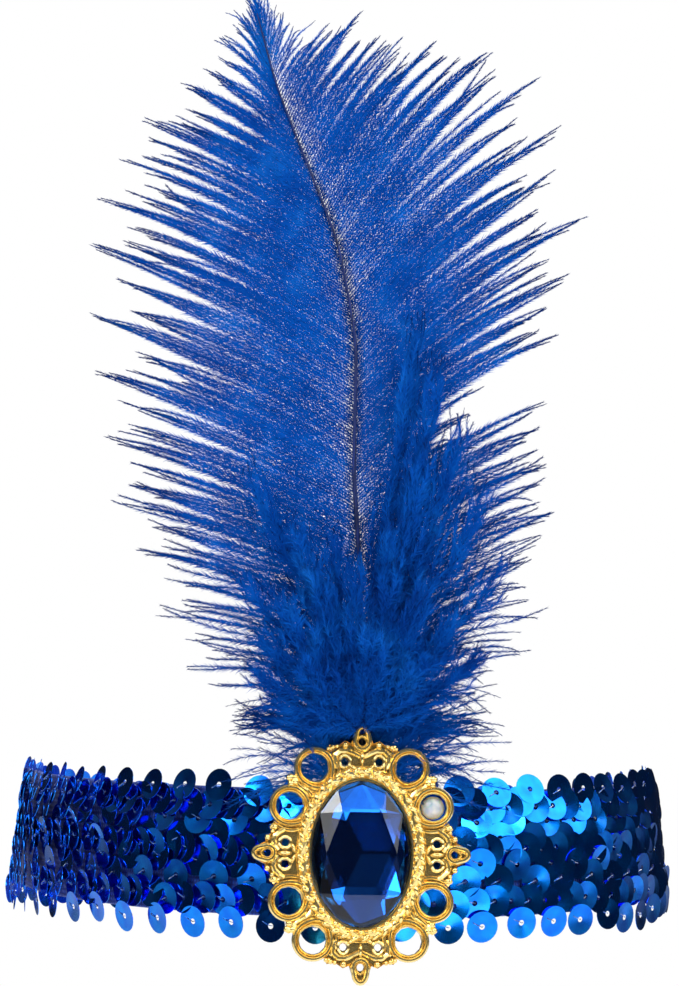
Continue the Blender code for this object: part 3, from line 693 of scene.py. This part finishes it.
def medallion_relief(material):
    """The cast relief over the medallion's plate."""
    shapes = Shapes()
    for side, rise in QUARTERS:
        for u, v in EYELETS:
            eyelet_relief(shapes, side * u, rise * v)
        notch_relief(shapes, side, rise)
    for turns, *sizes in FINIAL_KINDS:
        for turn in turns:
            finial_relief(shapes, math.radians(turn), *sizes)
    rope_relief(shapes)
    shapes.piece("medallion_relief", material)


def girdle_point(angle, share=1.0):
    """Return u and v on the stone's girdle, at an angle from the top in degrees."""
    turn = math.radians(angle)
    return STONE_HALF[0] * share * math.sin(turn), STONE_HALF[1] * share * math.cos(turn)


def stone_mesh(name, points, faces, finish):
    """Make a flat-faceted object in the medallion's plane, with the given finish."""
    mesh = bpy.data.meshes.new(name)
    mesh.from_pydata([tuple(point) for point in on_medallion(points)], [], faces)
    mesh.materials.append(finish)
    obj = bpy.data.objects.new(name, mesh)
    bpy.context.scene.collection.objects.link(obj)
    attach(obj, "root")
    return obj


def sapphire_stone(material, foil):
    """The oval stone: a hexagonal table that rises a little, star and kite facets, and a flat back."""
    mains = (0.0, 29.0, 57.0, 90.0, 123.0, 151.0, 180.0, 209.0, 237.0, 270.0, 303.0, 331.0)
    count = len(mains)
    points = [(0.0, 0.0, 4.62)] + [(u, v, 4.4) for u, v in STONE_TABLE_CORNERS]
    girdle = len(points)
    for start, end in zip(mains, mains[1:] + (360.0,)):
        points.append((*girdle_point(start), 2.6))
        for step in (0.25, 0.5, 0.75):
            points.append((*girdle_point(start + (end - start) * step), 2.35))
    around = 4 * count
    back = len(points)
    for i in range(around):
        u, v, _ = points[girdle + i]
        points.append((u * 0.97, v * 0.975, 1.2))
    faces = []
    for k in range(6):
        here, following = 1 + k, 1 + (k + 1) % 6
        faces.append((0, following, here))
        # Each corner of the table stands at every second main facet; between them lies a star facet.
        corner, star = 1 + 2 * k, (2 + 2 * k) % count
        after = (3 + 2 * k) % count
        faces.append((here, following, girdle + 4 * star))
        faces.append((here, girdle + 4 * star, girdle + 4 * corner))
        faces.append((following, girdle + 4 * after, girdle + 4 * star))
    for main in range(count):
        first = 4 * main
        last = (first + 4) % around
        faces.append((girdle + first, girdle + last, girdle + first + 3, girdle + first + 2, girdle + first + 1))
    for i in range(around):
        following = (i + 1) % around
        faces.append((girdle + i, girdle + following, back + following, back + i))
    faces.append(tuple(back + i for i in range(around)))
    stone = stone_mesh("sapphire_stone", points, faces, material)
    shape = bmesh.new()
    shape.from_mesh(stone.data)
    bmesh.ops.recalc_face_normals(shape, faces=shape.faces)
    shape.to_mesh(stone.data)
    shape.free()
    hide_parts("stone")

    # The foiled back is cut into shallow facets that meet at its middle.
    rim = [(*girdle_point(angle, 0.94), 2.2) for angle in mains]
    foil_points = [(0.0, 0.0, 1.25)] + [(u * 0.8, v * 0.8, 1.45 if k % 2 else 1.75)
                                        for k, (u, v) in enumerate(STONE_TABLE_CORNERS)] + rim
    foil_faces = []
    for k in range(6):
        here, following = 1 + k, 1 + (k + 1) % 6
        foil_faces.append((0, here, following))
        corner, star = 7 + 1 + 2 * k, 7 + (2 + 2 * k) % count
        after = 7 + (3 + 2 * k) % count
        foil_faces.append((here, star, following))
        foil_faces.append((here, corner, star))
        foil_faces.append((following, star, after))
    stone_mesh("stone_foil", foil_points, foil_faces, foil)


def glue_drop(material):
    """The set drop of glue in one eyelet, a little lopsided."""
    shapes = Shapes()
    u, v = EYELETS[1]
    pebble(shapes, u, v, 0.0, (2.5, 2.42, 1.75), 0.4, rings=16, sides=28)
    pebble(shapes, u - 0.8, v + 0.6, 0.55, (1.3, 1.1, 1.2), 0.2, rings=12, sides=20)
    drop = shapes.piece("glue_drop_set", material)
    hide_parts("glue_drop")


# Plume

def quill_curve():
    """Return heights and points of the quill's centre line, smoothed between its driving points."""
    out = STRAND_FRONT + CLEARANCE + QUILL_RADIUS
    butt = [oval_point(np.array(0.0), height, out) for height in QUILL_BUTT_HEIGHTS]
    line = np.array([*butt, *(np.array(point) * MM for point in QUILL_LINE)])
    heights = np.linspace(line[0, 2], line[-1, 2], 400)
    span = 41
    smooth = []
    for axis in (0, 1):
        values = np.interp(heights, line[:, 2], line[:, axis])
        padded = np.concatenate([2 * values[0] - values[span // 2:0:-1], values,
                                 2 * values[-1] - values[-2:-2 - span // 2:-1]])
        smooth.append(np.convolve(padded, np.hanning(span) / np.hanning(span).sum(), mode="valid"))
    return heights, np.stack([*smooth, heights], axis=1)


def quill_at(height, curve):
    """Return the quill's centre at a height."""
    heights, points = curve
    return np.array([np.interp(height, heights, points[:, axis]) for axis in range(3)])


def quadratic(root, bend, tip, share):
    """Return points on the quadratic curve from root to tip."""
    s = np.asarray(share)[:, None]
    return (1.0 - s) ** 2 * root + 2.0 * s * (1.0 - s) * bend + s ** 2 * tip


def add_barb(shapes, path, share, shaft, length, rng, loose, turn):
    """Add one barb along a path: a tapering shaft, and on both sides barbules that lean to its tip.

    loose is how far the barbules stray from the vane, and turn how far the barb itself is rolled.
    """
    few = np.linspace(0, len(share) - 1, 12).astype(int)
    tube(shapes, path[few], shaft * (1.0 - 0.7 * share[few]), 3, 0.65 + 0.35 * share[few])
    face_on = np.array([rng.normal(0.0, turn), -1.0, rng.normal(0.0, turn)])
    heading = unit(np.gradient(path, axis=0))
    across = unit(np.cross(heading, face_on))
    face = np.cross(across, heading)
    step = np.linalg.norm(path[1] - path[0])
    count = len(share)
    reach = length * np.minimum(1.0, 0.35 + 2.5 * share) * (1.0 - 0.75 * share ** 3)
    width = (BARBULE_WIDTH * (1.0 - 0.3 * share))[:, None]
    lean = (BARBULE_LEAN * (1.0 - 0.65 * share ** 2))[:, None]
    dark = np.maximum(1.0 - share / 0.05, 0.85 * np.clip((share - 0.72) / 0.28, 0.0, 1.0) ** 1.5)
    for side in (1.0, -1.0):
        base = path + heading * rng.uniform(-0.5, 0.5, (count, 1)) * step
        tilt = lean + rng.normal(0.0, 0.09 + 0.25 * loose, (count, 1))
        roll = rng.normal(0.0, loose, (count, 1))
        sideways = across * side * np.cos(roll) + face * np.sin(roll)
        aim = heading * np.cos(tilt) + sideways * np.sin(tilt)
        end = base + aim * (reach * rng.uniform(0.7, 1.2, count))[:, None]
        flat = unit(np.cross(aim, face + rng.normal(0.0, 0.45, (count, 3)))) * width / 2.0
        points = np.stack([base - flat, base + flat, end], axis=1)
        blades = np.arange(count)[:, None] * 3 + np.array([[0, 1, 2]])
        shapes.add(points, [blades], np.repeat(np.clip(dark, 0.0, 1.0), 3))


def waves(share, size, rng):
    """Return soft random waves that grow towards the tip."""
    rate = rng.uniform(0.6, 1.6, 3)
    start = rng.uniform(0.0, math.tau, 3)
    return size * share[:, None] * np.sin(share[:, None] * math.tau * rate + start)


def barb_shares(root, tip, spacing):
    """Return the places of a barb's barbules, from 0 at its root to 1 at its tip."""
    return np.linspace(0.0, 1.0, max(12, int(np.linalg.norm(tip - root) / spacing)))


def side_locks(side, curve):
    """Return one side's locks from the lowest root up."""
    rows = [row for row in PLUME_LOCKS
            if (row[0] * MM - quill_at(row[2] * MM, curve)[0]) * side > 0.0]
    return sorted(rows, key=lambda row: row[2])


def fan_of_tips(side, curve):
    """Return root heights, and the tips that barbs with those roots reach for, up one side."""
    rows = [(row[0], row[1], row[2], row[4]) for row in side_locks(side, curve)]
    tops = TOP_BARBS_LEFT if side < 0.0 else TOP_BARBS_RIGHT
    rows += [(tip_x, tip_z, root_z, 1) for tip_x, tip_z, root_z in tops]
    heights = np.array([row[2] for row in rows]) * MM
    tips = np.array([(tip_x * MM, quill_at(root_z * MM, curve)[1] - forward * MM, tip_z * MM)
                     for tip_x, tip_z, root_z, forward in rows])
    forwards = np.array([row[3] for row in rows]) * MM
    return heights, tips, forwards


def plume_vane(name, side, material, curve, rng):
    """One side of the plume: barbs that leave the quill evenly, in wisps that close up at their tips."""
    shapes = Shapes()
    heights, tips, forwards = fan_of_tips(side, curve)
    edges = np.concatenate([[heights[0] - 9.0 * MM], (heights[1:] + heights[:-1]) / 2.0, [heights[-1]]])
    reaches = rng.uniform(0.84, 0.95, (len(heights), 3))
    reaches[:, 1] = rng.uniform(0.97, 1.04, len(heights))

    def fan_tip(at):
        return np.array([np.interp(at, heights, tips[:, axis]) for axis in range(3)])

    height = edges[0]
    while height < edges[-1]:
        index = min(int(np.searchsorted(edges, height, side="right")) - 1, len(heights) - 1)
        low, high = edges[index], edges[index + 1]
        third = min(int(3.0 * (height - low) / (high - low)), 2)
        wisp_height = low + (high - low) * (third + 0.5) / 3.0
        root = quill_at(height, curve)
        wisp_root = quill_at(wisp_height, curve)
        reach = reaches[index, third]
        if side > 0.0 and abs(height - NOTCH_HEIGHT) < NOTCH_HALF:
            reach *= NOTCH_REACH
        wisp_tip = wisp_root + (fan_tip(wisp_height) - wisp_root) * reach
        stray = 2.0 * MM if rng.uniform() < 0.1 else 0.25 * MM
        short = abs(rng.normal(0.0, 0.07))
        tip = wisp_tip + (root - wisp_tip) * short + rng.normal(0.0, stray, 3)
        tip[1] += rng.normal(0.0, 1.2 * MM)
        spread_tip = root + (fan_tip(height) - root) * reach
        span = spread_tip - root
        forward = np.interp(height, heights, forwards)
        bend = root + np.array([span[0] * 0.42, -0.1 * forward, span[2] * 0.62])
        share = barb_shares(root, tip, BARBULE_SPACING)
        # High up the wisps part early, lower down they lie close until near the edge.
        closing = np.interp(height, (110.0 * MM, 165.0 * MM), (4.2, 2.4))
        path = quadratic(root, bend, spread_tip, share) + (tip - spread_tip) * share[:, None] ** closing
        downy = max(0.0, 1.0 - (height - 50.0 * MM) / (40.0 * MM))
        path += waves(share, (0.35 + 0.7 * downy) * MM, rng)
        length = min(BARBULE_LENGTH * (1.0 + 0.6 * downy), 0.7 * MM + 0.05 * np.linalg.norm(span))
        add_barb(shapes, path, share, 0.1 * MM, length, rng, 0.2 + 0.3 * downy, 0.25)
        height += BARB_SPACING * rng.uniform(0.8, 1.2)
    return shapes.piece(name, material)


def soft_barb(shapes, root, bend, tip, length, sway, rng, loose=0.8):
    """Add a soft barb on a plain bend."""
    share = barb_shares(root, tip, 1.2 * BARBULE_SPACING)
    path = quadratic(root, bend, tip, share) + waves(share, sway, rng)
    add_barb(shapes, path, share, 0.07 * MM, length, rng, loose, 0.6)


def soft_plume(shapes, root, bend, tip, width, count, rng):
    """Add a soft plume: barbs that leave a curved axis one after another and stay close to it."""
    across = unit(np.cross(tip - root, (0.0, -1.0, 0.0)))
    for k in range(count):
        start = 0.75 * (k + rng.uniform()) / count
        end = min(1.0, start + rng.uniform(0.30, 0.45))
        low, middle, high = quadratic(root, bend, tip, np.array([start, (start + end) / 2.0, end]))
        swing = across * rng.uniform(-0.5, 0.5) * width * math.sin(math.pi * (0.15 + 0.8 * end)) ** 0.5
        swing = swing + np.array([0.0, rng.normal(0.0, 0.08) * width, 0.0])
        soft_barb(shapes, low, middle + swing * 0.8, high + swing, 2.8 * MM, 0.8 * MM, rng)


def front_barbs(material, curve, rng):
    """Softer plumes that rise in front of the vane, and the lowest barbs."""
    shapes = Shapes()
    for tip_x, tip_z, root_z, forward, width in FRONT_PLUMES:
        root = quill_at(root_z * MM, curve)
        tip = np.array([tip_x * MM, quill_at(tip_z * MM, curve)[1] - forward * MM, tip_z * MM])
        bend = root + np.array([(tip[0] - root[0]) * 0.75, -1.1 * forward * MM, (tip[2] - root[2]) * 0.45])
        soft_plume(shapes, root, bend, tip, width * MM, int(0.5 * (tip_z - root_z)) + 8, rng)
    # The lowest barbs spread outwards over the butt, behind the medallion.
    for _ in range(210):
        height = rng.uniform(29.0, 54.0) * MM
        side = 1.0 if rng.uniform() < 0.5 else -1.0
        root = quill_at(height, curve)
        reach = rng.uniform(14.0, 31.0) * MM
        rise = rng.uniform(-0.15, 0.9)
        tip = root + np.array([side * reach * math.cos(rise), -rng.uniform(-0.05, 0.15) * reach,
                               reach * math.sin(rise)])
        bend = root + np.array([0.4 * side * reach, -0.08 * reach, (0.35 + 0.5 * rise) * reach * 0.6])
        soft_barb(shapes, root, bend, tip, 3.0 * MM, 1.2 * MM, rng)
    return shapes.piece("plume_front_barbs", material)


def quill_piece(material, curve):
    """The quill from its glued butt to its tip."""
    heights, points = curve
    shapes = Shapes()
    share = np.linspace(0.0, 1.0, len(points))
    tube(shapes, points[::4], (0.75 * MM * (1.0 - 0.85 * share))[::4], 12)
    return shapes.piece("plume_quill", material)


def down_tuft(material, curve, rng):
    """The downy tuft at the plume's foot, which covers the quill above the medallion."""
    shapes = Shapes()
    base = quill_at(TUFT_ROOT_HEIGHT, curve) + np.array([0.0, -4.0 * MM, -8.0 * MM])
    for tip_x, tip_z, forward, width in TUFT_LOCKS:
        tip = np.array([tip_x * MM, base[1] - forward * 0.7 * MM, tip_z * MM])
        span = tip - base
        bend = base + np.array([span[0] * 0.6, -0.6 * forward * MM, span[2] * 0.45])
        soft_plume(shapes, base, bend, tip, width * MM, 44, rng)
    tuft = shapes.piece("down_tuft_barbs", material)
    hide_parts("down_tuft")


def plume(material, quill_finish, rng):
    curve = quill_curve()
    quill = quill_piece(quill_finish, curve)
    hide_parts("plume")
    plume_vane("plume_vane_left", -1.0, material, curve, rng)
    plume_vane("plume_vane_right", 1.0, material, curve, rng)
    front_barbs(material, curve, rng)
    down_tuft(material, curve, rng)


# Studio

def camera():
    """The photograph's viewpoint: a little above the band, looking slightly up, rolled a degree."""
    distance, azimuth, height = 0.640, math.radians(-2.83), 0.060
    yaw, pitch, roll = math.radians(0.1), math.radians(3.68), math.radians(0.97)
    focal_px = 2591.0
    long_side_px = 986.0
    data = bpy.data.cameras.new("camera")
    data.sensor_fit = "AUTO"
    data.sensor_width = 36.0
    data.lens = 36.0 * focal_px / long_side_px
    data.clip_start = 0.01
    obj = bpy.data.objects.new("camera", data)
    bpy.context.scene.collection.objects.link(obj)
    turn = azimuth + yaw
    ahead = Vector((-math.sin(turn) * math.cos(pitch), math.cos(turn) * math.cos(pitch), math.sin(pitch)))
    level = ahead.cross(Vector((0.0, 0.0, 1.0))).normalized()
    up = level.cross(ahead)
    right = level * math.cos(roll) + up * math.sin(roll)
    up = -level * math.sin(roll) + up * math.cos(roll)
    basis = Matrix((right, up, -ahead)).transposed()
    obj.matrix_world = Matrix.Translation((distance * math.sin(azimuth), -distance * math.cos(azimuth), height)) \
        @ basis.to_4x4()
    bpy.context.scene.camera = obj


def softbox(name, place, target, size, power):
    """Add a soft rectangular lamp that faces a point."""
    data = bpy.data.lights.new(name, "AREA")
    data.shape = "RECTANGLE"
    data.size, data.size_y = size
    data.energy = power
    obj = bpy.data.objects.new(name, data)
    bpy.context.scene.collection.objects.link(obj)
    obj.location = place
    obj.rotation_euler = (Vector(target) - Vector(place)).to_track_quat("-Z", "Y").to_euler()


def studio():
    """A pale floor under a white surround, with soft lamps above and in front."""
    scene = bpy.context.scene
    scene.view_settings.view_transform = "Standard"
    floor_mesh = bpy.data.meshes.new("floor")
    shape = bmesh.new()
    bmesh.ops.create_circle(shape, cap_ends=True, segments=96, radius=0.75)
    shape.to_mesh(floor_mesh)
    shape.free()
    floor = bpy.data.objects.new("floor", floor_mesh)
    scene.collection.objects.link(floor)
    floor.location.z = -0.16
    floor_mesh.materials.append(painted_board())

    world = bpy.data.worlds.new("studio_surround")
    scene.world = world
    world.use_nodes = True
    tree = world.node_tree
    tree.nodes.clear()
    # The eye sees white paper all round; the lamps do most of the lighting.
    seen = add_node(tree, "ShaderNodeBackground", {"Color": (1.0, 1.0, 1.0, 1.0), "Strength": 1.0})
    direction = add_node(tree, "ShaderNodeTexCoord").outputs["Generated"]
    height = add_node(tree, "ShaderNodeSeparateXYZ", links={"Vector": direction}).outputs["Z"]
    ramp = colour_ramp(tree, add_node(tree, "ShaderNodeMapRange", {"From Min": -1.0, "From Max": 1.0},
                                      {"Value": height}).outputs["Result"],
                       ((0.0, "B0B0B0"), (0.42, "909090"), (0.46, "25272C"), (0.64, "25272C"), (0.72, "707070"),
                        (1.0, "C8C8C8")))
    glow = add_node(tree, "ShaderNodeBackground", {"Strength": 1.0}, {"Color": ramp})
    path = add_node(tree, "ShaderNodeLightPath").outputs["Is Camera Ray"]
    mixed = add_node(tree, "ShaderNodeMixShader", links={0: path, 1: glow.outputs[0], 2: seen.outputs[0]})
    add_node(tree, "ShaderNodeOutputWorld", links={"Surface": mixed.outputs[0]})

    middle = (0.0, -0.05, 0.06)
    softbox("key_lamp", (0.56, -0.48, 0.50), middle, (0.95, 0.48), 3.8)
    softbox("fill_lamp", (-0.46, -0.56, 0.50), middle, (0.45, 0.42), 1.8)
    softbox("left_spark", (-0.44, -0.48, 0.44), middle, (0.16, 0.16), 1.0)
    softbox("right_spark", (0.34, -0.62, 0.56), middle, (0.16, 0.16), 0.7)
    softbox("top_lamp", (0.0, -0.15, 0.95), middle, (0.9, 0.7), 5.0)
    softbox("low_lamp", (0.1, -0.70, -0.12), middle, (0.9, 0.10), 0.9)
    softbox("back_lamp", (0.3, 0.9, 0.5), middle, (0.9, 0.6), 3.0)


def main():
    camera()
    studio()
    rng = np.random.default_rng(37)
    elastic_band(woven_elastic())
    film = metallised_sequin_film()
    threads = Shapes()
    for name in SEQUIN_STRANDS:
        sequin_strand(name, film, threads, rng)
    threads.piece("sequin_threads", monofilament())
    gilt = gilt_moulding()
    for plate_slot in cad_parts["medallion"].material_slots:
        plate_slot.material = gilt
    medallion_relief(gilt)
    sapphire_stone(sapphire_acrylic(), stone_foil())
    glue_drop(hot_melt_glue())
    plume(dyed_ostrich_barbs(), dyed_quill(), rng)


main()
